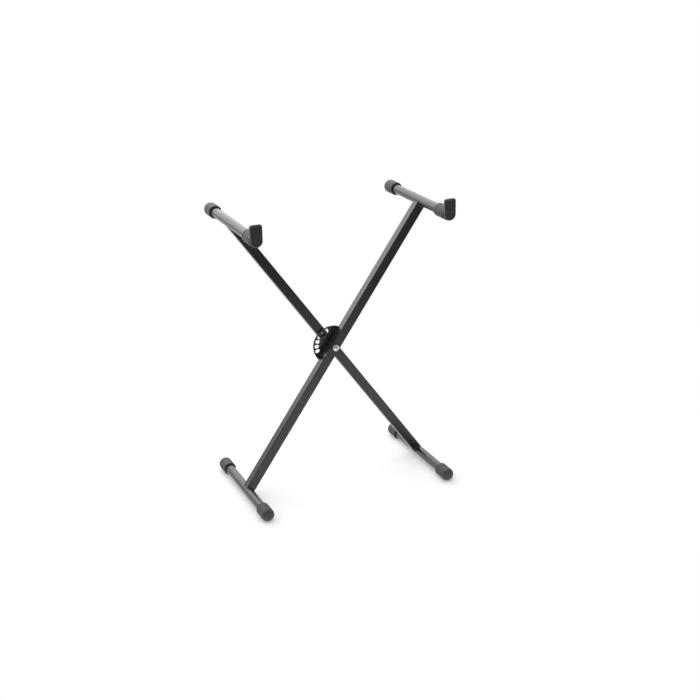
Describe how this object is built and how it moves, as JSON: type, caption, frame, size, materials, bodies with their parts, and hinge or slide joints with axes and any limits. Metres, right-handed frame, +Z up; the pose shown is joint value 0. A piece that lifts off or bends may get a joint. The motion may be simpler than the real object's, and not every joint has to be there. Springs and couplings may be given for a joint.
{
  "type": "folding keyboard stand",
  "caption": "Folding X-frame keyboard stand with crossed square-tube arms, round cross bars with rubber caps, lip stops and a pin-and-plate height lock.",
  "frame": {"origin": "on the floor, under the middle of the stand", "axes": "+Z up; +X to the right across the stand, from the player's side; +Y from the front, where the lips are, to the back"},
  "size_m": [0.5516, 0.355, 0.7808],
  "materials": {
    "black_paint": "satin black powder coat",
    "black_rubber": "ribbed matt rubber",
    "black_nylon": "black nylon",
    "black_plastic": "fine-grained black plastic",
    "zinc": "bright zinc plate",
    "white_nylon": "natural nylon"
  },
  "bodies": {
    "front_frame": {"front_arm": "black_paint", "left_foot_bar": "black_paint", "right_top_bar": "black_paint", "lock_plate": "black_paint", "left_foot_cap_front": "black_rubber", "left_foot_cap_back": "black_rubber", "right_top_cap_back": "black_rubber", "pivot_bolt": "zinc", "head_washer": "black_nylon", "front_arm_sleeve": "zinc", "arm_spacer": "black_nylon", "back_washer": "zinc", "pivot_nut": "zinc", "nut_insert": "white_nylon"},
    "rear_frame": {"rear_arm": "black_paint", "right_foot_bar": "black_paint", "left_top_bar": "black_paint", "right_foot_cap_front": "black_rubber", "right_foot_cap_back": "black_rubber", "left_top_cap_back": "black_rubber", "rear_arm_sleeve": "zinc", "pin_housing": "zinc", "pin_spring": "zinc"},
    "pull_pin": {"lock_pin": "zinc", "pull_knob": "black_plastic"},
    "turning_left_stop": {"left_stop": "black_rubber"},
    "turning_right_stop": {"right_stop": "black_rubber"}
  },
  "joints": [
    {"name": "arm_fold", "type": "hinge", "parent": "front_frame", "child": "rear_frame", "pos_m": [0, 0, 0.38048], "axis": [0, -1, 0], "range_deg": [-60, 70]},
    {"name": "pin_pull", "type": "slide", "parent": "rear_frame", "child": "pull_pin", "axis": [0, 1, 0], "range_m": [0, 0.006], "stiffness_N_per_m": 1200, "springref_m": -0.005, "deforming": ["pin_spring"]},
    {"name": "left_stop_turn", "type": "hinge", "parent": "rear_frame", "child": "turning_left_stop", "pos_m": [-0.25604, -0.15, 0.74077], "axis": [0, 1, 0], "range_deg": [-90, 90]},
    {"name": "right_stop_turn", "type": "hinge", "parent": "front_frame", "child": "turning_right_stop", "pos_m": [0.25604, -0.15, 0.74077], "axis": [0, 1, 0], "range_deg": [-90, 90]}
  ]
}
